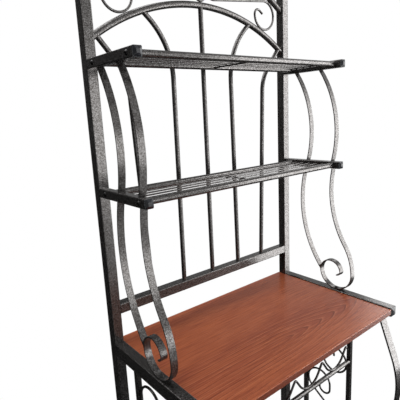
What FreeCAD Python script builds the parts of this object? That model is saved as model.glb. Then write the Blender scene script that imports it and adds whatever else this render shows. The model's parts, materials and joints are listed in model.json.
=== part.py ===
import FreeCAD, Part
import math
import os

from FreeCAD import Vector

os.makedirs("parts", exist_ok=True)

# A bakers rack: two back posts carry a back panel with two arches, two wire shelves on short
# arms, and a worktop on side rails. Below it stand the lower posts, two cabriole front legs
# of flat bar, a bottle rack and a bottom shelf.
#
# Millimetres. X runs across, with 0 in the middle. Y is 0 on the front faces of the posts and
# grows to the back. Z is 0 on the floor. The pieces are moved in Y on export, so that the
# origin ends up under the middle of the whole rack.

# Overall
rack_width = 650.0
worktop_height = 800.0
post_rise = 855.0

# Square tubes
frame_tube = 25.0
frame_wall = 1.5
frame_corner = 2.5
arm_tube = 20.0
arm_wall = 1.5
arm_corner = 2.5
plug_fit = 0.1
plug_skirt = 12.0
plug_flange = 1.5
plug_peak = 4.0
plug_tip = 8.0
plug_bevel = 1.0
coupler_grip = 60.0
coupler_wall = 1.5
coupler_corner = 2.0
foot_pad = 4.0

# Worktop
rail_reach = 357.0
board_thickness = 15.0
board_recess = 3.0
board_side_gap = 1.0
board_overhang = 2.0
board_round = 1.2
tab_width = 32.0
tab_reach = 20.0
tab_thickness = 2.0
tab_corner = 6.0
tab_inset = 55.0

# Back panel
back_rail_gap = 69.9
arch_tube = 16.0
arch_wall = 1.5
arch_spring = 701.1
arch_rise = 94.4
arch_step = 114.0
spindle_diameter = 12.0
spindle_wall = 1.2
inner_spindle_foot = 100.5
inner_spindle_corner = (95.2, 699.0)
inner_spindle_top = 172.0
inner_spindle_bend = 180.0
outer_spindle_foot = 201.0
outer_spindle_corner = (222.0, 622.0)
outer_spindle_top = 292.0
outer_spindle_bend = 100.0

# Crest between the arches, bent from wire: a ring in the middle and a scroll on each side
crest_wire = 6.0
crest_ring_radius = 16.0
crest_loop = 38.0
crest_loop_turn = 280.0
crest_lean = 24.1
crest_hook = 12.0
crest_hook_turn = 120.0
crest_tail = 14.0
crest_heart = 24.0
crest_heart_turn = 250.0
crest_heart_angle = 19.0
crest_heart_hook = 11.0
crest_heart_hook_turn = 160.0
weld_gap = 0.3

# Arms and shelves
arm_reach = 190.0
upper_arm_rise = 643.0
middle_arm_rise = 369.6
shelf_back = 28.0
shelf_front = 170.0
shelf_rod = 14.0
shelf_wire = 4.0
shelf_cross = 5.0
shelf_wire_pitch = 23.7
shelf_cross_inset = 8.0
shelf_wire_overrun = 4.0
weld_sink = 0.8
bolt_diameter = 6.0
thread_play = 0.1
hole_play = 0.5
bolt_grip = 15.0
bolt_head = 10.5
bolt_head_height = 3.3
bolt_socket = 4.0
bolt_socket_depth = 1.8

# Flat bars between the arms and the worktop
bar_width = 16.0
bar_thickness = 3.0
bar_inset = 3.5
bar_pair_step = 83.0
upper_bar_top = 40.0
upper_bar_bow = 94.0
upper_bar_bottom = 83.0
lower_bar_bow = 62.0
lower_bar_bow_rise = 262.0
lower_bar_radius = 340.0
front_bar_bow = 163.0
front_bar_bow_rise = 300.0
front_bar_radius = 300.0
scroll_front = 236.0
scroll_radius = 50.5
scroll_curl = 33.0
scroll_curl_turn = 170.0
scroll_eye = 11.0
scroll_eye_turn = 85.0
scroll_tail = 5.0
bar_lead = 3.0

# Lower frame
leg_width = 25.0
leg_thickness = 5.0
leg_shoulder = 324.0
leg_shoulder_bend = 27.0
leg_knee = 389.0
leg_knee_drop = 203.0
leg_knee_bend = 250.0
leg_ankle = 343.0
leg_ankle_drop = 530.0
leg_ankle_bend = 500.0
leg_toe = 362.0
foot_height = 28.0
foot_wall = 2.0
foot_sole = 3.0
foot_play = 0.2
foot_corner = 2.0
bottom_rail_height = 239.0
bottom_shelf_front = 310.0
side_bar_side = 12.7
side_bar_wall = 1.2
side_bar_corner = 1.5
back_side_bar = 78.0
front_side_bar = 234.0

# S-scrolls in the side frames
side_wire = 6.0
side_loop = 40.5
side_scroll_height = 220.0
side_scroll_drop = 168.0
side_scroll_step = 241.0
side_scroll_run = 15.0
side_scroll_curl = 19.0
side_scroll_curl_turn = 190.0

# Bottle rack
bottle_rod = 12.7
bottle_rod_drop = 218.5
cradle_pitch = 117.0
cradle_count = 5
cradle_depth = 45.0
cradle_slope = 55.0
cradle_crest_bend = 5.0
cradle_wire = 6.0

# Screws and nuts
nut_across_flats = 10.0
nut_height = 5.0
bolt_end = 7.0
screw_diameter = 3.6
screw_spare = 1.0
screw_head = 7.6
screw_rim = 1.2
screw_head_height = 2.2
screw_length = 12.0

# How far cutting shapes run past what they cut
overrun = 50.0

# Places that several pieces share
half_width = rack_width / 2
inner_half = half_width - frame_tube
post_x = half_width - frame_tube / 2
post_y = frame_tube / 2
arm_x = half_width - arm_tube / 2
arm_inner = half_width - arm_tube
bar_x = half_width - bar_inset - bar_width / 2
leg_x = half_width - leg_width / 2
post_joint = worktop_height - frame_tube - leg_thickness
post_top = worktop_height + post_rise
upper_arm_height = worktop_height + upper_arm_rise
middle_arm_height = worktop_height + middle_arm_rise
back_rail_top = worktop_height + back_rail_gap + frame_tube
arch_radius = (inner_half ** 2 + arch_rise ** 2) / (2 * arch_rise)
lower_arch_centre = worktop_height + arch_spring + arch_rise - arch_radius
board_bottom = worktop_height - board_recess - board_thickness
strap_bottom = worktop_height - frame_tube - leg_thickness
bottom_rail_top = bottom_rail_height + frame_tube / 2
scroll_bolt_y = -(scroll_front - scroll_radius)
bolt_bore = bolt_diameter + thread_play
bolt_hole = bolt_diameter + hole_play


# Geometry helpers


def moved(shape, x, y, z):
    copy = shape.copy()
    copy.translate(Vector(x, y, z))
    return copy


def turned(shape, axis, angle):
    copy = shape.copy()
    copy.rotate(Vector(0, 0, 0), axis, angle)
    return copy


def largest(shape):
    return max(shape.Solids, key=lambda solid: solid.Volume)


def rounded_square(side, radius):
    box = Part.makeBox(side, side, 1, Vector(-side / 2, -side / 2, 0))
    upright = [edge for edge in box.Edges if abs(edge.tangentAt(edge.FirstParameter).z) > 0.5]
    solid = box.makeFillet(radius, upright)
    bottom = min(solid.Faces, key=lambda face: face.CenterOfMass.z)
    return bottom.OuterWire


def square_bar(side, corner, length):
    return Part.Face(rounded_square(side, corner)).extrude(Vector(0, 0, length))


# Square tube that stands on Z = 0.
def square_tube(side, wall, corner, length):
    outside = square_bar(side, corner, length)
    inside = square_bar(side - 2 * wall, corner - wall, length)
    return outside.cut(inside)


def forward(shape):
    return turned(shape, Vector(1, 0, 0), 90)


def sideways(shape):
    return turned(shape, Vector(0, 1, 0), 90)


def cylinder_x(diameter, x_from, x_to, y, z):
    return Part.makeCylinder(diameter / 2, x_to - x_from, Vector(x_from, y, z), Vector(1, 0, 0))


def cylinder_z(diameter, x, y, z_from, z_to):
    return Part.makeCylinder(diameter / 2, z_to - z_from, Vector(x, y, z_from), Vector(0, 0, 1))


# Straight lines through the points, with an arc of the given radius at each inner point.
def bent_path(points, radii):
    edges = []
    start = points[0]
    for corner, after, radius in zip(points[1:-1], points[2:], radii):
        back = (start - corner).normalize()
        ahead = (after - corner).normalize()
        half = back.getAngle(ahead) / 2
        reach = radius / math.tan(half)
        first = corner + back * reach
        last = corner + ahead * reach
        middle = corner + (back + ahead).normalize() * (radius / math.sin(half) - radius)
        edges.append(Part.LineSegment(start, first).toShape())
        edges.append(Part.Arc(first, middle, last).toShape())
        start = last
    edges.append(Part.LineSegment(start, points[-1]).toShape())
    return Part.Wire(edges)


# A smooth run of lines and arcs in a plane. Each step is (size, turn): a line of that length
# where turn is 0, otherwise an arc of that radius that turns by so many degrees.
def traced_path(start, heading, steps, to_space):
    edges = []
    u, v = start
    for size, turn in steps:
        if turn == 0:
            next_u = u + size * math.cos(math.radians(heading))
            next_v = v + size * math.sin(math.radians(heading))
            edges.append(Part.LineSegment(to_space(u, v), to_space(next_u, next_v)).toShape())
        else:
            side = math.copysign(1, turn)
            normal = math.radians(heading + 90 * side)
            centre_u = u + size * math.cos(normal)
            centre_v = v + size * math.sin(normal)
            points = []
            for share in (0.5, 1.0):
                spoke = normal + math.pi + math.radians(turn) * share
                points.append((centre_u + size * math.cos(spoke), centre_v + size * math.sin(spoke)))
            next_u, next_v = points[1]
            arc = Part.Arc(to_space(u, v), to_space(*points[0]), to_space(next_u, next_v))
            edges.append(arc.toShape())
            heading += turn
        u, v = next_u, next_v
    return Part.Wire(edges)


def start_of(path):
    edge = path.Edges[0]
    return edge.valueAt(edge.FirstParameter), edge.tangentAt(edge.FirstParameter)


def round_wire(path, diameter):
    point, direction = start_of(path)
    circle = Part.Wire(Part.makeCircle(diameter / 2, point, direction))
    return path.makePipe(Part.Face(circle))


# Flat bar that follows a path in a plane of constant X, with its width along X.
def flat_bar(path, width, thickness):
    point, direction = start_of(path)
    across = Vector(width / 2, 0, 0)
    through = direction.cross(Vector(1, 0, 0)).normalize() * (thickness / 2)
    corners = [point - across - through, point + across - through]
    corners += [point + across + through, point - across + through]
    outline = Part.makePolygon(corners + corners[:1])
    return path.makePipe(Part.Face(outline))


# Heading and length of the straight stem that joins two loops of an S, which it leaves on
# opposite sides.
def stem_between(first_centre, first_radius, last_centre, last_radius, side):
    du = last_centre[0] - first_centre[0]
    dv = last_centre[1] - first_centre[1]
    distance = math.hypot(du, dv)
    swing = math.asin((first_radius + last_radius) / distance)
    heading = math.degrees(math.atan2(dv, du) + side * swing)
    return heading, distance * math.cos(swing)


def point_on(centre, radius, angle):
    spoke = math.radians(angle)
    return centre[0] + radius * math.cos(spoke), centre[1] + radius * math.sin(spoke)


# Pieces used in several places


# Plastic plug with a low pyramid on top, which closes a square tube below Z = 0.
def end_plug(side, wall, corner):
    skirt_side = side - 2 * wall - 2 * plug_fit
    skirt = square_bar(skirt_side, corner - wall, plug_skirt)
    flange = square_bar(side, corner, plug_flange)
    base = rounded_square(side - plug_bevel, corner)
    base.translate(Vector(0, 0, plug_flange))
    tip = rounded_square(plug_tip, plug_bevel)
    tip.translate(Vector(0, 0, plug_flange + plug_peak))
    peak = Part.makeLoft([base, tip], True)
    return moved(skirt, 0, 0, -plug_skirt).fuse([flange, peak]).removeSplitter()


def hexagon(across_flats, height):
    corners = []
    for step in range(7):
        corners.append(Vector(*point_on((0, 0), across_flats / math.sqrt(3), 60 * step), 0))
    return Part.Face(Part.makePolygon(corners)).extrude(Vector(0, 0, height))


# Button head on Z = 0 with a hexagon socket.
def button_head(diameter, height, socket, socket_depth):
    dome_radius = (diameter ** 2 / 4 + height ** 2) / (2 * height)
    ball = Part.makeSphere(dome_radius, Vector(0, 0, height - dome_radius))
    slab = Part.makeCylinder(diameter / 2, height)
    head = ball.common(slab)
    return head.cut(moved(hexagon(socket, socket_depth), 0, 0, height - socket_depth))


# Bolt with its head seat on Z = 0 and its shank below.
def bolt(length):
    head = button_head(bolt_head, bolt_head_height, bolt_socket, bolt_socket_depth)
    return head.fuse(cylinder_z(bolt_diameter, 0, 0, -length, 0)).removeSplitter()


# Back posts


def lower_post(side):
    tube = square_tube(frame_tube, frame_wall, frame_corner, post_joint - foot_pad)
    return moved(tube, side * post_x, post_y, foot_pad)


def upper_post(side):
    tube = square_tube(frame_tube, frame_wall, frame_corner, post_top - post_joint)
    return moved(tube, side * post_x, post_y, post_joint)


def post_coupler(side):
    outside = frame_tube - 2 * frame_wall - 2 * plug_fit
    tube = square_tube(outside, coupler_wall, coupler_corner, 2 * coupler_grip)
    return moved(tube, side * post_x, post_y, post_joint - coupler_grip)


def post_cap(side):
    return moved(end_plug(frame_tube, frame_wall, frame_corner), side * post_x, post_y, post_top)


# Plastic glide: a flat pad on the floor and a skirt inside the post.
def post_foot(side):
    pad = square_bar(frame_tube, frame_corner, foot_pad)
    lower_edges = [edge for edge in pad.Edges if edge.BoundBox.ZMax < foot_pad / 2]
    pad = pad.makeChamfer(plug_bevel, lower_edges)
    skirt_side = frame_tube - 2 * frame_wall - 2 * plug_fit
    skirt = square_bar(skirt_side, frame_corner - frame_wall, foot_pad + plug_skirt)
    return moved(pad.fuse(skirt).removeSplitter(), side * post_x, post_y, 0)


# Back panel


def back_rail():
    tube = sideways(square_tube(frame_tube, frame_wall, frame_corner, 2 * inner_half))
    return moved(tube, -inner_half, post_y, back_rail_top - frame_tube / 2)


def between_posts():
    corner = Vector(-inner_half, -overrun, 0)
    return Part.makeBox(2 * inner_half, frame_tube + 2 * overrun, post_top + 2 * arch_step, corner)


def arch_height(x):
    return lower_arch_centre + math.sqrt(arch_radius ** 2 - x ** 2)


# The arc runs on into the posts and is then trimmed flush with their inner faces.
def arch_rod(diameter, lift):
    spread = inner_half + frame_tube / 2
    ends = Vector(spread, post_y, arch_height(spread) + lift)
    crown = Vector(0, post_y, arch_height(0) + lift)
    arc = Part.Arc(Vector(-ends.x, ends.y, ends.z), crown, ends).toShape()
    return round_wire(Part.Wire(arc), diameter).common(between_posts())


def arch(lift):
    return arch_rod(arch_tube, lift).cut(arch_rod(arch_tube - 2 * arch_wall, lift))


# A spindle is a round tube that stands on the back rail and ends coped against the underside
# of the lower arch.
def spindle(points, radii):
    points = [Vector(x, post_y, z) for x, z in points]
    points[0] += (points[0] - points[1]).normalize() * spindle_diameter
    path = bent_path(points, radii)
    tube = round_wire(path, spindle_diameter).cut(round_wire(path, spindle_diameter - 2 * spindle_wall))
    return largest(tube.common(between_heights(back_rail_top, post_top)).cut(arch_rod(arch_tube, 0)))


def bent_spindle(side, foot, corner, top, bend):
    corner_x, corner_rise = corner
    points = [(side * foot, back_rail_top), (side * corner_x, worktop_height + corner_rise)]
    points.append((side * top, arch_height(top)))
    return spindle(points, [bend])


def centre_spindle():
    return spindle([(0, back_rail_top), (0, arch_height(0))], [])


# Distance from the centre of the lower arch to the middle of a wire that lies on it.
def crest_base():
    return arch_radius + (arch_tube + crest_wire) / 2 + weld_gap


def crest_ring():
    centre = Vector(0, post_y, lower_arch_centre + crest_base() + crest_ring_radius)
    return Part.makeTorus(crest_ring_radius, crest_wire / 2, centre, Vector(0, 1, 0))


# An S of wire on the lower arch: a large loop below the stem near the post, and a smaller one
# above the stem that leans on the ring.
def crest_scroll(side):
    loop_centre = point_on((0, lower_arch_centre), crest_base() + crest_loop, 90 - crest_lean)
    ring_centre = (0, lower_arch_centre + crest_base() + crest_ring_radius)
    reach = crest_ring_radius + crest_wire + weld_gap + crest_heart
    heart_centre = point_on(ring_centre, reach, crest_heart_angle)
    heading, stem = stem_between(loop_centre, crest_loop, heart_centre, crest_heart, 1)
    begin = point_on(loop_centre, crest_loop, heading - 90)

    def to_space(u, v):
        return Vector(side * u, post_y, v)

    outer = [(crest_loop, -crest_loop_turn), (crest_hook, -crest_hook_turn), (crest_tail, 0)]
    outer_path = traced_path(begin, heading + 180, outer, to_space)
    inner = [(stem, 0), (crest_heart, -crest_heart_turn), (crest_heart_hook, -crest_heart_hook_turn)]
    inner_path = traced_path(begin, heading, inner, to_space)
    wires = [round_wire(outer_path, crest_wire), round_wire(inner_path, crest_wire)]
    return wires[0].fuse(wires[1]).removeSplitter()


# Arms and shelves


def arm(side, height):
    tube = forward(square_tube(arm_tube, arm_wall, arm_corner, arm_reach))
    tube = moved(tube, side * arm_x, 0, height)
    for y in (-shelf_back, -shelf_front):
        tube = tube.cut(cylinder_x(bolt_hole, -half_width - overrun, half_width + overrun, y, height))
    return tube


def arm_plugs():
    plug = forward(end_plug(arm_tube, arm_wall, arm_corner))
    plugs = []
    for height in (upper_arm_height, middle_arm_height):
        plugs += [moved(plug, side * arm_x, -arm_reach, height) for side in (-1, 1)]
    return Part.makeCompound(plugs)


# Two rods that take the bolts, cross bars between them, and long wires on the cross bars.
def wire_shelf(inner, front, height):
    rods = []
    for y in (-shelf_back, -front):
        rod = cylinder_x(shelf_rod, -inner, inner, y, height)
        rods.append(rod.cut(cylinder_x(bolt_bore, -inner, inner, y, height)))
    bore_reach = (shelf_rod + bolt_bore) / 4
    depth = front - shelf_back
    cross_length = depth - 2 * bore_reach
    cross_z = height - shelf_cross / 2 + weld_sink
    crosses = []
    for x in (-inner + shelf_cross_inset, 0, inner - shelf_cross_inset):
        begin = Vector(x, -shelf_back - bore_reach, cross_z)
        crosses.append(Part.makeCylinder(shelf_cross / 2, cross_length, begin, Vector(0, -1, 0)))
    count = round(depth / shelf_wire_pitch) - 1
    reach = inner - shelf_cross_inset + shelf_wire_overrun
    wire_z = cross_z + (shelf_cross + shelf_wire) / 2 - weld_sink
    wires = []
    for step in range(1, count + 1):
        y = -shelf_back - depth * step / (count + 1)
        wires.append(cylinder_x(shelf_wire, -reach, reach, y, wire_z))
    return rods[0].fuse([rods[1]] + crosses + wires).removeSplitter()


def shelf_bolt(side, y, height):
    turn = turned(bolt(arm_tube + bolt_grip), Vector(0, 1, 0), side * 90)
    return moved(turn, side * half_width, y, height)


def all_shelf_bolts():
    places = []
    for height in (upper_arm_height, middle_arm_height):
        places += [(-shelf_back, height), (-shelf_front, height)]
    places += [(-shelf_back, bottom_rail_height), (-bottom_shelf_front, bottom_rail_height)]
    bolts = [shelf_bolt(side, y, z) for side in (-1, 1) for y, z in places]
    return Part.makeCompound(bolts)


# Flat bars between the arms


def side_plane(x):
    def to_space(u, v):
        return Vector(x, u, v)

    return to_space


def between_heights(low, high):
    return Part.makeBox(2 * rack_width, 4 * rail_reach, high - low, Vector(-rack_width, -2 * rail_reach, low))


# Bar from the upper arm to the middle arm, bowed to the front.
def upper_bar(side, step_forward):
    x = side * bar_x
    top = upper_arm_height - arm_tube / 2
    bottom = middle_arm_height + arm_tube / 2
    first = Vector(x, -upper_bar_top - step_forward, top)
    bow = Vector(x, -upper_bar_bow - step_forward, (2 * bottom + top) / 3)
    last = Vector(x, -upper_bar_bottom - step_forward, bottom)
    circle = Part.Arc(first, bow, last).toShape().Curve
    extra = arm_tube / 2 / circle.Radius
    start = circle.parameter(first)
    end = circle.parameter(last)
    longer = Part.ArcOfCircle(circle, min(start, end) - extra, max(start, end) + extra)
    bar = flat_bar(Part.Wire(longer.toShape()), bar_width, bar_thickness)
    return bar.common(between_heights(bottom, top))


# Front bar from the middle arm down to the worktop rail, where it rolls up into a scroll.
def scroll_bar(side):
    height = middle_arm_height - arm_tube / 2 - worktop_height
    reach = front_bar_radius + front_bar_bow
    centre_z = worktop_height + scroll_radius + bar_thickness / 2
    drop = worktop_height + front_bar_bow_rise - centre_z
    run = scroll_front - front_bar_bow
    both_radii = (drop ** 2 + run ** 2) / (2 * run)
    swing = math.degrees(math.asin(drop / both_radii))
    lead = math.degrees(math.asin((height - front_bar_bow_rise) / front_bar_radius)) + bar_lead
    begin = point_on((-reach, worktop_height + front_bar_bow_rise), front_bar_radius, lead)
    steps = [(front_bar_radius, -lead - swing), (both_radii - front_bar_radius, swing)]
    steps += [(scroll_radius, 180), (scroll_curl, scroll_curl_turn)]
    steps += [(scroll_eye, scroll_eye_turn), (scroll_tail, 0)]
    path = traced_path(begin, lead - 90, steps, side_plane(side * bar_x))
    bar = flat_bar(path, bar_width, bar_thickness)
    hole_top = worktop_height + scroll_radius / 2
    hole = cylinder_z(bolt_hole, side * bar_x, scroll_bolt_y, worktop_height - overrun, hole_top)
    return bar.common(between_heights(0, middle_arm_height - arm_tube / 2)).cut(hole)


# Back bar from the middle arm down to the back of the scroll.
def back_bar(side):
    height = middle_arm_height - arm_tube / 2 - worktop_height
    centre = (-lower_bar_bow - lower_bar_radius, worktop_height + lower_bar_bow_rise)
    lead = math.degrees(math.asin((height - lower_bar_bow_rise) / lower_bar_radius)) + bar_lead
    end_drop = lower_bar_bow_rise - scroll_radius - bar_thickness / 2
    swing = math.degrees(math.asin(end_drop / lower_bar_radius))
    begin = point_on(centre, lower_bar_radius, lead)
    path = traced_path(begin, lead - 90, [(lower_bar_radius, -lead - swing)], side_plane(side * bar_x))
    bar = flat_bar(path, bar_width, bar_thickness)
    bar = bar.common(between_heights(0, middle_arm_height - arm_tube / 2))
    return largest(bar.cut(scroll_bar(side)))


# Worktop


def worktop_rail(side):
    tube = forward(square_tube(frame_tube, frame_wall, frame_corner, rail_reach))
    tube = moved(tube, side * post_x, 0, worktop_height - frame_tube / 2)
    tabs = []
    for y in tab_places():
        x_from = inner_half - tab_reach if side > 0 else -inner_half
        corner = Vector(x_from, y - tab_width / 2, board_bottom - tab_thickness)
        tab = Part.makeBox(tab_reach, tab_width, tab_thickness, corner)
        upright = [edge for edge in tab.Edges if abs(edge.tangentAt(edge.FirstParameter).z) > 0.5]
        outer = [edge for edge in upright if abs(edge.CenterOfMass.x) < inner_half - tab_reach / 2]
        tab = tab.makeFillet(tab_corner, outer)
        hole = cylinder_z(screw_diameter + hole_play, side * screw_x(), y, 0, worktop_height)
        tabs.append(tab.cut(hole))
    hole = cylinder_z(bolt_hole, side * bar_x, scroll_bolt_y, 0, worktop_height + overrun)
    return tube.fuse(tabs).removeSplitter().cut(hole)


def tab_places():
    return [-tab_inset, -rail_reach + tab_inset]


def screw_x():
    return inner_half - tab_reach / 2


def rail_plug(side):
    plug = forward(end_plug(frame_tube, frame_wall, frame_corner))
    return moved(plug, side * post_x, -rail_reach, worktop_height - frame_tube / 2)


# Laminated board between the posts and the rails, with a rounded front edge.
def worktop_board():
    half = inner_half - board_side_gap
    front = -rail_reach - board_overhang
    board = Part.makeBox(2 * half, frame_tube - front, board_thickness, Vector(-half, front, board_bottom))
    front_edges = []
    for edge in board.Edges:
        if edge.BoundBox.YMax < front + board_thickness and abs(edge.tangentAt(edge.FirstParameter).x) > 0.5:
            front_edges.append(edge)
    board = board.makeFillet(board_round, front_edges)
    pilot_top = board_bottom + screw_length - tab_thickness + screw_spare
    for side in (-1, 1):
        for y in tab_places():
            pilot = cylinder_z(screw_diameter + thread_play, side * screw_x(), y, board_bottom, pilot_top)
            board = board.cut(pilot)
    return board


# Pan-head screws that hold the board down on the tabs.
def board_screws():
    screws = []
    head_seat = board_bottom - tab_thickness
    for side in (-1, 1):
        for y in tab_places():
            shank = cylinder_z(screw_diameter, 0, 0, 0, screw_length)
            head = Part.makeCylinder(screw_head / 2, screw_head_height, Vector(0, 0, -screw_head_height))
            rim = [edge for edge in head.Edges if edge.BoundBox.ZMax < -screw_head_height / 2]
            head = head.makeFillet(screw_rim, rim)
            screws.append(moved(head.fuse(shank).removeSplitter(), side * screw_x(), y, head_seat))
    return Part.makeCompound(screws)


# Bolt through the foot of each scroll, the worktop rail and the strap of the leg, and its nut.
def scroll_bolts():
    pieces = []
    inner_radius = scroll_radius - bar_thickness / 2
    seat_rise = inner_radius - math.sqrt(inner_radius ** 2 - (bolt_head / 2) ** 2)
    seat = worktop_height + bar_thickness + seat_rise
    length = seat - strap_bottom + bolt_end
    for side in (-1, 1):
        pieces.append(moved(bolt(length), side * bar_x, scroll_bolt_y, seat))
        nut = hexagon(nut_across_flats, nut_height).cut(cylinder_z(bolt_bore, 0, 0, 0, nut_height))
        pieces.append(moved(nut, side * bar_x, scroll_bolt_y, strap_bottom - nut_height))
    return Part.makeCompound(pieces)


# Lower frame


def leg_points(x):
    strap = worktop_height - frame_tube - leg_thickness / 2
    points = [(0, strap), (-leg_shoulder, strap)]
    points += [(-leg_knee, worktop_height - leg_knee_drop), (-leg_ankle, worktop_height - leg_ankle_drop)]
    points.append((-leg_toe, foot_sole))
    return [Vector(x, y, z) for y, z in points]


# One flat bar: a strap under the worktop rail that turns down into a cabriole leg.
def leg_bar(side, play):
    path = bent_path(leg_points(side * leg_x), [leg_shoulder_bend, leg_knee_bend, leg_ankle_bend])
    bar = flat_bar(path, leg_width + 2 * play, leg_thickness + 2 * play)
    return bar.common(between_heights(foot_sole, worktop_height))


def leg(side):
    hole = cylinder_z(bolt_hole, side * bar_x, scroll_bolt_y, leg_points(0)[0].z - overrun, worktop_height)
    return leg_bar(side, 0).cut(hole)


# Plastic shoe around the end of the leg, set to its slope.
def leg_foot(side):
    toe = leg_points(side * leg_x)[-1]
    ankle = leg_points(side * leg_x)[-2]
    lean = (toe.y - ankle.y) / (ankle.z - toe.z)
    width = leg_width + 2 * (foot_play + foot_wall)
    depth = leg_thickness + 2 * (foot_play + foot_wall)
    block = Part.makeBox(width, depth, foot_height, Vector(toe.x - width / 2, -depth / 2, 0))
    upright = [edge for edge in block.Edges if abs(edge.tangentAt(edge.FirstParameter).z) > 0.5]
    block = block.makeFillet(foot_corner, upright)
    slope = FreeCAD.Matrix()
    slope.A23 = -lean
    slope.A24 = toe.y + lean * foot_sole
    return block.transformGeometry(slope).cut(leg_bar(side, foot_play))


# Side rail of the bottom shelf, from the post to the back of the leg.
def bottom_rail(side):
    tube = forward(square_tube(frame_tube, frame_wall, frame_corner, leg_knee))
    tube = moved(tube, side * post_x, 0, bottom_rail_height)
    for y in (-shelf_back, -bottom_shelf_front):
        hole = cylinder_x(bolt_hole, -half_width - overrun, half_width + overrun, y, bottom_rail_height)
        tube = tube.cut(hole)
    return largest(tube.cut(leg(side)))


# Upright square tube between the bottom rail and the strap of the leg.
def side_bar(side, y):
    tube = square_tube(side_bar_side, side_bar_wall, side_bar_corner, strap_bottom - bottom_rail_top)
    return moved(tube, side * post_x, y, bottom_rail_top)


# Two S-scrolls of wire, one above the other, welded between the two upright bars.
def side_scrolls(side):
    middle = -(back_side_bar + front_side_bar) / 2
    touch = (front_side_bar - back_side_bar) / 2 - side_bar_side / 2 - side_wire / 2
    loop_u = touch - side_loop
    loop_v = side_scroll_height / 2 - side_loop
    heading, stem = stem_between((-loop_u, -loop_v), side_loop, (loop_u, loop_v), side_loop, -1)
    steps = [(stem / 2, 0), (side_loop, 270 - heading), (side_scroll_run, 0)]
    steps.append((side_scroll_curl, side_scroll_curl_turn))
    scrolls = []
    for index in range(2):
        centre = (middle, worktop_height - side_scroll_drop - side_scroll_step * index)
        halves = []
        for turn in (0, 180):
            path = traced_path(centre, heading + turn, steps, side_plane(side * post_x))
            halves.append(round_wire(path, side_wire))
        scrolls.append(halves[0].fuse(halves[1]).removeSplitter())
    return Part.makeCompound(scrolls)


# Bottle rack: a rod between two upright bars, and a wire with cradles welded on top of it.
def bottle_rack(y):
    rod_z = worktop_height - bottle_rod_drop
    rod = cylinder_x(bottle_rod, -post_x, post_x, -y, rod_z)
    valley = rod_z + (bottle_rod + cradle_wire) / 2 - weld_sink
    slope = math.tan(math.radians(cradle_slope))
    corner_depth = cradle_pitch / 2 * slope
    sharpness = 1 / math.cos(math.radians(cradle_slope)) - 1
    crest_cut = cradle_crest_bend * sharpness
    valley_bend = (corner_depth - crest_cut - cradle_depth) / sharpness
    crest = valley + cradle_depth + crest_cut
    half_row = cradle_count * cradle_pitch / 2
    points = [(-post_x, crest - (post_x - half_row) * slope)]
    radii = []
    for step in range(2 * cradle_count + 1):
        x = -half_row + step * cradle_pitch / 2
        points.append((x, crest - corner_depth * (step % 2)))
        radii.append(valley_bend if step % 2 else cradle_crest_bend)
    points.append((post_x, crest - (post_x - half_row) * slope))
    path = bent_path([Vector(x, -y, z) for x, z in points], radii)
    rack = rod.fuse(round_wire(path, cradle_wire)).removeSplitter()
    for side in (-1, 1):
        upright = square_bar(side_bar_side, side_bar_corner, strap_bottom - bottom_rail_top)
        rack = rack.cut(moved(upright, side * post_x, -y, bottom_rail_top))
    return largest(rack)


def build():
    pieces = {}
    for name, side in (("left", -1), ("right", 1)):
        pieces["lower_post_" + name] = lower_post(side)
        pieces["upper_post_" + name] = upper_post(side)
        pieces["post_cap_" + name] = post_cap(side)
        pieces["post_foot_" + name] = post_foot(side)
        pieces["crest_scroll_" + name] = crest_scroll(side)
        pieces["spindle_inner_" + name] = bent_spindle(
            side, inner_spindle_foot, inner_spindle_corner, inner_spindle_top, inner_spindle_bend
        )
        pieces["spindle_outer_" + name] = bent_spindle(
            side, outer_spindle_foot, outer_spindle_corner, outer_spindle_top, outer_spindle_bend
        )
        for level, height in (("upper", upper_arm_height), ("middle", middle_arm_height)):
            pieces[f"{level}_arm_{name}"] = arm(side, height)
        pieces["upper_back_bar_" + name] = upper_bar(side, 0)
        pieces["upper_front_bar_" + name] = upper_bar(side, bar_pair_step)
        pieces["lower_back_bar_" + name] = back_bar(side)
        pieces["scroll_bar_" + name] = scroll_bar(side)
        pieces["worktop_rail_" + name] = worktop_rail(side)
        pieces["rail_plug_" + name] = rail_plug(side)
        pieces["leg_" + name] = leg(side)
        pieces["leg_foot_" + name] = leg_foot(side)
        pieces["bottom_rail_" + name] = bottom_rail(side)
        pieces["side_bar_back_" + name] = side_bar(side, -back_side_bar)
        pieces["side_bar_front_" + name] = side_bar(side, -front_side_bar)
        pieces["side_scrolls_" + name] = side_scrolls(side)
    pieces["post_couplers"] = Part.makeCompound([post_coupler(-1), post_coupler(1)])
    pieces["back_rail"] = back_rail()
    pieces["lower_arch"] = arch(0)
    pieces["upper_arch"] = arch(arch_step)
    pieces["spindle_centre"] = centre_spindle()
    pieces["crest_ring"] = crest_ring()
    pieces["arm_plugs"] = arm_plugs()
    pieces["upper_shelf"] = wire_shelf(arm_inner, shelf_front, upper_arm_height)
    pieces["middle_shelf"] = wire_shelf(arm_inner, shelf_front, middle_arm_height)
    pieces["bottom_shelf"] = wire_shelf(inner_half, bottom_shelf_front, bottom_rail_height)
    pieces["shelf_bolts"] = all_shelf_bolts()
    pieces["worktop_board"] = worktop_board()
    pieces["board_screws"] = board_screws()
    pieces["scroll_bolts"] = scroll_bolts()
    pieces["bottle_rack_back"] = bottle_rack(back_side_bar)
    pieces["bottle_rack_front"] = bottle_rack(front_side_bar)
    return pieces


all_pieces = build()
leg_front = all_pieces["leg_left"].BoundBox.YMin
shift = -(leg_front + frame_tube) / 2
for node, piece in all_pieces.items():
    moved(piece, 0, shift, 0).exportStep(f"parts/{node}.step")
print(len(all_pieces), "pieces, shifted by", round(shift, 3))
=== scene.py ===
import json
import math

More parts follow.
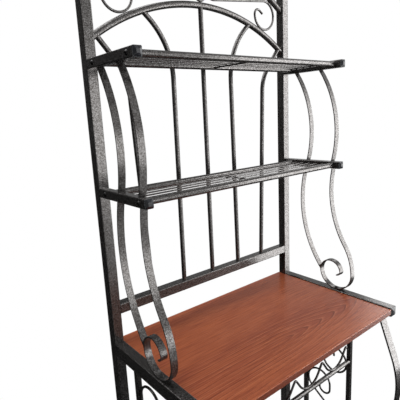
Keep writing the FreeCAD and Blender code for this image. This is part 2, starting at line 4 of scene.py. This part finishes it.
import bpy
from mathutils import Euler, Matrix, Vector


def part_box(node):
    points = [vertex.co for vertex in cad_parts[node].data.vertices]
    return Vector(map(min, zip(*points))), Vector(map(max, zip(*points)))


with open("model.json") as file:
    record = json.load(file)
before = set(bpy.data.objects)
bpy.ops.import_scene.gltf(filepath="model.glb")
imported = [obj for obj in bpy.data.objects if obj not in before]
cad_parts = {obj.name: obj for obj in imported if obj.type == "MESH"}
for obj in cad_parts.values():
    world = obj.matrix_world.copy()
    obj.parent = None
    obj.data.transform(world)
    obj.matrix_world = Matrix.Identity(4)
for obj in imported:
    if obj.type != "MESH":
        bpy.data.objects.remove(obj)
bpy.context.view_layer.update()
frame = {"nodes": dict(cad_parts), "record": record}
nodes = frame["nodes"]
print("frame loaded:", len(nodes), "nodes")


# Node helpers


def newMaterial(name):
    material = bpy.data.materials.new(name)
    material.use_nodes = True
    tree = material.node_tree
    return material, tree, tree.nodes["Principled BSDF"]


# A socket takes a number, a colour or the output of another node.
def setSocket(tree, socket, value):
    if isinstance(value, (int, float)):
        socket.default_value = value
    elif isinstance(value, tuple):
        socket.default_value = (*value, 1)
    else:
        tree.links.new(value, socket)


def objectPlace(tree, scale=(1, 1, 1)):
    place = tree.nodes.new("ShaderNodeTexCoord")
    mapping = tree.nodes.new("ShaderNodeMapping")
    mapping.inputs["Scale"].default_value = scale
    tree.links.new(place.outputs["Object"], mapping.inputs["Vector"])
    return mapping.outputs["Vector"]


def noise(tree, vector, scale, detail=2.0, roughness=0.5):
    node = tree.nodes.new("ShaderNodeTexNoise")
    setSocket(tree, node.inputs["Vector"], vector)
    setSocket(tree, node.inputs["Scale"], scale)
    setSocket(tree, node.inputs["Detail"], detail)
    setSocket(tree, node.inputs["Roughness"], roughness)
    return node.outputs["Fac"]


# Spots are the two factors at which the first and the second colour are pure.
def blendTones(tree, factor, spots, colours):
    node = tree.nodes.new("ShaderNodeValToRGB")
    for element, position, colour in zip(node.color_ramp.elements, spots, colours):
        element.position = position
        element.color = (*colour, 1)
    tree.links.new(factor, node.inputs["Fac"])
    return node.outputs["Color"]


def remap(tree, factor, spots, values):
    node = tree.nodes.new("ShaderNodeMapRange")
    names = ("From Min", "From Max", "To Min", "To Max")
    for name, value in zip(names, (*spots, *values)):
        setSocket(tree, node.inputs[name], value)
    tree.links.new(factor, node.inputs["Value"])
    return node.outputs["Result"]


def arithmetic(tree, operation, first, second=0.0):
    node = tree.nodes.new("ShaderNodeMath")
    node.operation = operation
    setSocket(tree, node.inputs[0], first)
    setSocket(tree, node.inputs[1], second)
    return node.outputs["Value"]


def mixColours(tree, factor, first, second):
    node = tree.nodes.new("ShaderNodeMix")
    node.data_type = "RGBA"
    colourSockets = [socket for socket in node.inputs if socket.type == "RGBA"]
    setSocket(tree, node.inputs[0], factor)
    setSocket(tree, colourSockets[0], first)
    setSocket(tree, colourSockets[1], second)
    return [socket for socket in node.outputs if socket.type == "RGBA"][0]


# How far a vector reaches along a direction
def reach(tree, vector, direction):
    node = tree.nodes.new("ShaderNodeVectorMath")
    node.operation = "DOT_PRODUCT"
    node.inputs[1].default_value = direction
    tree.links.new(vector, node.inputs[0])
    return node.outputs["Value"]


def bump(tree, height, strength, distance):
    node = tree.nodes.new("ShaderNodeBump")
    setSocket(tree, node.inputs["Height"], height)
    setSocket(tree, node.inputs["Strength"], strength)
    setSocket(tree, node.inputs["Distance"], distance)
    return node.outputs["Normal"]


def fillShader(tree, shader, colour, roughness, relief):
    tree.links.new(colour, shader.inputs["Base Color"])
    tree.links.new(roughness, shader.inputs["Roughness"])
    tree.links.new(relief, shader.inputs["Normal"])


# Finishes

noiseRange = (0.3, 0.7)  # most of a noise lies between these values


hammeredLook = {
    "groundColour": (0.044, 0.040, 0.037),
    "veinColour": (0.19, 0.184, 0.182),
    "veinSpots": (0.1, 0.9),
    "metallic": 0.68,
    "roughness": (0.11, 0.24),
    "dimpleScale": 640.0,
    "dimpleDepth": 0.0003,
    "dimpleStrength": 0.24,
    "fleckScale": 512.0,
    "fleckSpots": (0.35, 0.65),
    "fleckShare": (0.3, 1.2),
}


def hammeredPewter():
    look = hammeredLook
    material, tree, shader = newMaterial("hammeredPewter")
    place = objectPlace(tree)
    dimples = tree.nodes.new("ShaderNodeTexVoronoi")
    setSocket(tree, dimples.inputs["Vector"], place)
    setSocket(tree, dimples.inputs["Scale"], look["dimpleScale"])
    shade = tree.nodes.new("ShaderNodeSeparateColor")
    tree.links.new(dimples.outputs["Color"], shade.inputs["Color"])
    fleck = noise(tree, place, look["fleckScale"], detail=3.0, roughness=0.7)
    veins = arithmetic(
        tree, "MULTIPLY", shade.outputs["Red"],
        remap(tree, fleck, look["fleckSpots"], look["fleckShare"]),
    )
    height = arithmetic(tree, "ADD", dimples.outputs["Distance"], fleck)
    shader.inputs["Metallic"].default_value = look["metallic"]
    fillShader(
        tree, shader,
        blendTones(tree, veins, look["veinSpots"], (look["groundColour"], look["veinColour"])),
        remap(tree, shade.outputs["Green"], (0.0, 1.0), look["roughness"]),
        bump(tree, height, look["dimpleStrength"], look["dimpleDepth"]),
    )
    return material


plasticLook = {
    "colour": (0.006, 0.007, 0.010),
    "wornColour": (0.02, 0.022, 0.028),
    "wornSpots": (0.35, 0.75),
    "shine": 0.4,
    "roughness": (0.22, 0.36),
    "cloudScale": 160.0,
    "grainScale": 2600.0,
    "grainStrength": 0.15,
    "grainDepth": 0.0002,
}


def blackPlastic():
    look = plasticLook
    material, tree, shader = newMaterial("blackPlastic")
    place = objectPlace(tree)
    cloud = noise(tree, place, look["cloudScale"], detail=4.0)
    grain = noise(tree, place, look["grainScale"])
    shader.inputs["Specular IOR Level"].default_value = look["shine"]
    fillShader(
        tree, shader,
        blendTones(tree, cloud, look["wornSpots"], (look["colour"], look["wornColour"])),
        remap(tree, cloud, noiseRange, look["roughness"]),
        bump(tree, grain, look["grainStrength"], look["grainDepth"]),
    )
    return material


boltLook = {
    "colour": (0.016, 0.016, 0.016),
    "rubbedColour": (0.09, 0.085, 0.08),
    "rubbedSpots": (0.5, 0.85),
    "metallic": 0.6,
    "roughness": (0.3, 0.5),
    "patchScale": 380.0,
    "patchStrength": 0.2,
    "patchDepth": 0.0002,
}


def blackOxide():
    look = boltLook
    material, tree, shader = newMaterial("blackOxide")
    patches = noise(tree, objectPlace(tree), look["patchScale"], detail=4.0, roughness=0.6)
    shader.inputs["Metallic"].default_value = look["metallic"]
    fillShader(
        tree, shader,
        blendTones(tree, patches, look["rubbedSpots"], (look["colour"], look["rubbedColour"])),
        remap(tree, patches, noiseRange, look["roughness"]),
        bump(tree, patches, look["patchStrength"], look["patchDepth"]),
    )
    return material


steelLook = {
    "colour": (0.45, 0.45, 0.46),
    "stainColour": (0.3, 0.29, 0.28),
    "stainSpots": (0.4, 0.8),
    "stainScale": 60.0,
    "roughness": (0.28, 0.45),
    "drawnStretch": (1, 1, 0.04),
    "drawnScale": 900.0,
    "drawnStrength": 0.1,
    "drawnDepth": 0.0001,
}


def bareSteel():
    look = steelLook
    material, tree, shader = newMaterial("bareSteel")
    drawn = noise(tree, objectPlace(tree, look["drawnStretch"]), look["drawnScale"], detail=3.0)
    stains = noise(tree, objectPlace(tree), look["stainScale"], detail=4.0)
    shader.inputs["Metallic"].default_value = 1.0
    fillShader(
        tree, shader,
        blendTones(tree, stains, look["stainSpots"], (look["colour"], look["stainColour"])),
        remap(tree, drawn, noiseRange, look["roughness"]),
        bump(tree, drawn, look["drawnStrength"], look["drawnDepth"]),
    )
    return material


cherryLook = {
    "palePlank": (0.43, 0.112, 0.042),
    "deepPlank": (0.31, 0.070, 0.030),
    "plankSpots": (0.36, 0.64),
    "plankStretch": (0.09, 1, 1),
    "plankScale": 14.0,
    "lineColour": (0.17, 0.030, 0.010),
    "lineSpots": (0.74, 0.92),
    "lightLine": (0.62, 0.22, 0.11),
    "lightSpots": (0.0, 0.3),
    "lightShare": 0.5,
    "heartLine": -0.081,
    "heartStart": -0.03,
    "heartLean": 0.19,
    "archPoint": 1.45,
    "ringWidth": 0.0105,
    "ringDrift": 0.004,
    "wanderStretch": (0.2, 1, 1),
    "wanderScale": 9.0,
    "wander": 0.006,
    "poreColour": (0.2, 0.036, 0.016),
    "poreStretch": (0.02, 1, 1),
    "poreScale": 620.0,
    "poreSpots": (0.5, 0.68),
    "poreShare": 0.85,
    "fibreSpots": (0.3, 0.46),
    "fibreShare": 0.45,
    "breakScale": 210.0,
    "breakSpots": (0.38, 0.6),
    "breakStrength": (0.55, 1.25),
    "paleSpots": (0.4, 0.68),
    "paleStrength": (1.0, 0.5),
    "heartSpots": (0.045, 0.1),
    "heartStrength": (1.0, 0.42),
    # Painted shade on the board's edge below the rounding, and on its underside
    "paintedShadeColour": (0.12, 0.022, 0.010),
    "paintedShadeShare": 0.75,
    "paintedShadeDrop": 0.0012,
    "paintedShadeFade": 0.001,
    "shine": 0.42,
    "roughness": (0.26, 0.36),
    "poreStrength": 0.08,
    "poreDepth": 0.0002,
}


# Distance from the heart of the arched figure: straight lines on the left, arches to the right
def archRadius(tree, split, clouds):
    look = cherryLook
    drift = noise(tree, objectPlace(tree, look["wanderStretch"]), look["wanderScale"])
    aside = arithmetic(tree, "SUBTRACT", split.outputs["Y"], look["heartLine"])
    drift = remap(tree, drift, noiseRange, (-look["wander"], look["wander"]))
    aside = arithmetic(tree, "ADD", aside, drift)
    depth = arithmetic(tree, "SUBTRACT", split.outputs["X"], look["heartStart"])
    depth = arithmetic(tree, "MULTIPLY", depth, look["heartLean"])
    depth = arithmetic(tree, "MAXIMUM", depth, 0.0)
    point = look["archPoint"]
    powers = [
        arithmetic(tree, "POWER", arithmetic(tree, "ABSOLUTE", value), point)
        for value in (aside, depth)
    ]
    radius = arithmetic(tree, "POWER", arithmetic(tree, "ADD", *powers), 1 / point)
    shift = remap(tree, clouds, noiseRange, (0.0, look["ringDrift"]))
    return arithmetic(tree, "ADD", radius, shift)


# The lines are weaker in pale planks and away from the heart, and break up along the grain.
def lineStrength(tree, clouds, radius, fine):
    look = cherryLook
    breaks = noise(tree, fine, look["breakScale"], detail=3.0, roughness=0.65)
    inPlank = remap(tree, clouds, look["paleSpots"], look["paleStrength"])
    nearHeart = remap(tree, radius, look["heartSpots"], look["heartStrength"])
    unbroken = remap(tree, breaks, look["breakSpots"], look["breakStrength"])
    strength = arithmetic(tree, "MULTIPLY", inPlank, nearHeart)
    return arithmetic(tree, "MULTIPLY", strength, unbroken)


def cherryLaminate():
    look = cherryLook
    material, tree, shader = newMaterial("cherryLaminate")
    fine = objectPlace(tree, look["poreStretch"])
    split = tree.nodes.new("ShaderNodeSeparateXYZ")
    tree.links.new(objectPlace(tree), split.inputs["Vector"])

    stretched = objectPlace(tree, look["plankStretch"])
    clouds = noise(tree, stretched, look["plankScale"], detail=4.0, roughness=0.55)
    plankColours = (look["deepPlank"], look["palePlank"])
    colour = blendTones(tree, clouds, look["plankSpots"], plankColours)

    # Each ring is a dark line with a light one beside it.
    radius = archRadius(tree, split, clouds)
    strength = lineStrength(tree, clouds, radius, fine)
    rings = arithmetic(tree, "FRACT", arithmetic(tree, "DIVIDE", radius, look["ringWidth"]))
    lines = remap(tree, rings, look["lineSpots"], (0.0, 1.0))
    lines = arithmetic(tree, "MULTIPLY", lines, strength)
    colour = mixColours(tree, lines, colour, look["lineColour"])
    lights = remap(tree, rings, look["lightSpots"], (look["lightShare"], 0.0))
    lights = arithmetic(tree, "MULTIPLY", lights, strength)
    colour = mixColours(tree, lights, colour, look["lightLine"])

    grain = noise(tree, fine, look["poreScale"], roughness=0.6)
    pores = remap(tree, grain, look["poreSpots"], (0.0, look["poreShare"]))
    colour = mixColours(tree, pores, colour, look["poreColour"])
    fibres = remap(tree, grain, look["fibreSpots"], (look["fibreShare"], 0.0))
    colour = mixColours(tree, fibres, colour, look["lightLine"])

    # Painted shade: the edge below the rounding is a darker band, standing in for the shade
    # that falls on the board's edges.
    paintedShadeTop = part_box("worktop_board")[1][2] - look["paintedShadeDrop"]
    paintedShadeSpots = (paintedShadeTop - look["paintedShadeFade"], paintedShadeTop)
    paintedShade = remap(tree, split.outputs["Z"], paintedShadeSpots, (look["paintedShadeShare"], 0.0))
    colour = mixColours(tree, paintedShade, colour, look["paintedShadeColour"])

    shader.inputs["Specular IOR Level"].default_value = look["shine"]
    fillShader(
        tree, shader, colour,
        remap(tree, grain, noiseRange, look["roughness"]),
        bump(tree, grain, look["poreStrength"], look["poreDepth"]),
    )
    return material


def dress():
    finishes = {
        "hammered_coat": hammeredPewter(),
        "black_plastic": blackPlastic(),
        "black_bolts": blackOxide(),
        "bare_steel": bareSteel(),
        "cherry_board": cherryLaminate(),
    }
    for entry in frame["record"]["subparts"]:
        node = nodes[entry["node"]]
        node.data.materials.clear()
        node.data.materials.append(finishes[entry["material_slot"]])


dress()


# Studio


# What the camera and mirrors see of the world and the floor is white; their light is not.
def whiteForCamera(tree, shader, output, white, share):
    light = tree.nodes.new("ShaderNodeLightPath")
    seen = arithmetic(
        tree, "ADD", light.outputs["Is Camera Ray"], light.outputs["Is Glossy Ray"]
    )
    seen = arithmetic(tree, "ADD", seen, light.outputs["Is Transmission Ray"])
    seen = arithmetic(tree, "MULTIPLY", arithmetic(tree, "MINIMUM", seen, 1.0), share)
    mix = tree.nodes.new("ShaderNodeMixShader")
    tree.links.new(seen, mix.inputs["Fac"])
    tree.links.new(shader.outputs[0], mix.inputs[1])
    tree.links.new(white.outputs[0], mix.inputs[2])
    tree.links.new(mix.outputs["Shader"], output.inputs["Surface"])
    return light


# White all round for the camera, and as bright as the room is there for mirrors
def paintWhite(tree, white, light, room):
    strength = arithmetic(tree, "MAXIMUM", light.outputs["Is Camera Ray"], room)
    tree.links.new(strength, white.inputs["Strength"])


worldLook = {
    "strength": 0.35,
    "brightSide": (0.7, -0.55, -0.45),
    "sideSpots": (-0.4, 0.6),
    "sideShares": (0.055, 1.0),
}


# The room is darker on the left, as if a black card stood there.
def paintWorld():
    look = worldLook
    world = bpy.data.worlds.new("studioWorld")
    bpy.context.scene.world = world
    world.use_nodes = True
    tree = world.node_tree
    place = tree.nodes.new("ShaderNodeTexCoord")
    facing = reach(tree, place.outputs["Generated"], look["brightSide"])
    room = remap(tree, facing, look["sideSpots"], look["sideShares"])
    background = tree.nodes["Background"]
    background.inputs["Color"].default_value = (1, 1, 1, 1)
    plain = arithmetic(tree, "MULTIPLY", room, look["strength"])
    tree.links.new(plain, background.inputs["Strength"])
    white = tree.nodes.new("ShaderNodeBackground")
    white.inputs["Color"].default_value = (1, 1, 1, 1)
    light = whiteForCamera(tree, background, tree.nodes["World Output"], white, 1.0)
    paintWhite(tree, white, light, room)


floorLook = {
    "size": 40.0,
    "colour": (0.6, 0.6, 0.6),
    "roughness": 0.9,
    "shadowSpots": (0.4, 0.85),
    "whiteShares": (0.82, 1.0),
    "brightCorner": (0.45, -0.9, 0.0),
    "cornerSpots": (1.0, 1.9),
    "cornerShares": (0.01, 1.0),
}


def layFloor():
    look = floorLook
    bpy.ops.object.select_all(action="DESELECT")
    bpy.ops.mesh.primitive_plane_add(size=look["size"])
    floor = bpy.context.object
    floor.name = "studioFloor"
    material, tree, shader = newMaterial("paleFloor")
    shader.inputs["Base Color"].default_value = (*look["colour"], 1)
    shader.inputs["Roughness"].default_value = look["roughness"]
    place = tree.nodes.new("ShaderNodeTexCoord")

    # Near the rack some of the plain floor shows, with its shadow.
    away = tree.nodes.new("ShaderNodeVectorMath")
    away.operation = "LENGTH"
    tree.links.new(place.outputs["Object"], away.inputs[0])
    share = remap(tree, away.outputs["Value"], look["shadowSpots"], look["whiteShares"])
    white = tree.nodes.new("ShaderNodeEmission")
    light = whiteForCamera(tree, shader, tree.nodes["Material Output"], white, share)

    corner = reach(tree, place.outputs["Object"], look["brightCorner"])
    room = remap(tree, corner, look["cornerSpots"], look["cornerShares"])
    paintWhite(tree, white, light, room)
    floor.data.materials.append(material)


lampLooks = {
    "keyLamp": {
        "place": (1.64, -1.16, 1.3),
        "target": (0.3, 0.1, 1.3),
        "size": (0.85, 2.5),
        "power": 38.0,
    },
    "frontLamp": {
        "place": (0.9, -3.0, 1.2),
        "target": (-0.3, 0.2, 1.2),
        "size": (1.6, 1.4),
        "power": 20.0,
    },
    "sideLamp": {
        "place": (2.0, 0.45, 1.6),
        "target": (0.2, -0.15, 0.8),
        "size": (0.6, 1.0),
        "power": 4.5,
    },
    "topLamp": {
        "place": (-0.5, 0.6, 2.9),
        "target": (0.0, 0.0, 0.9),
        "size": (2.0, 2.0),
        "power": 50.0,
    },
}


def softLamp(name):
    look = lampLooks[name]
    bpy.ops.object.light_add(type="AREA", location=look["place"])
    lamp = bpy.context.object
    lamp.name = name
    lamp.data.shape = "RECTANGLE"
    lamp.data.size, lamp.data.size_y = look["size"]
    lamp.data.energy = look["power"]
    aim = [goal - here for goal, here in zip(look["target"], look["place"])]
    flat = math.hypot(aim[0], aim[1])
    lamp.rotation_euler = (math.atan2(flat, -aim[2]), 0, math.atan2(-aim[0], aim[1]))


cameraLook = {
    "place": (-0.70752, -0.6638, 1.33011),
    "turn": 38.24,
    "downTilt": 11.79,
    "roll": -2.96,
    "lens": 37.08,
    "sensor": 36,
}


def placeCamera():
    look = cameraLook
    bpy.ops.object.camera_add(location=look["place"])
    camera = bpy.context.object
    camera.data.lens = look["lens"]
    camera.data.sensor_width = look["sensor"]
    tilt = math.radians(90 - look["downTilt"])
    aim = Euler((tilt, 0, math.radians(-look["turn"]))).to_matrix()
    aim = aim @ Matrix.Rotation(math.radians(look["roll"]), 3, "Z")
    camera.rotation_euler = aim.to_euler()
    bpy.context.scene.camera = camera


def buildStudio():
    paintWorld()
    layFloor()
    for name in lampLooks:
        softLamp(name)
    placeCamera()
    bpy.context.scene.view_settings.view_transform = "Standard"


buildStudio()
print("studio ready")
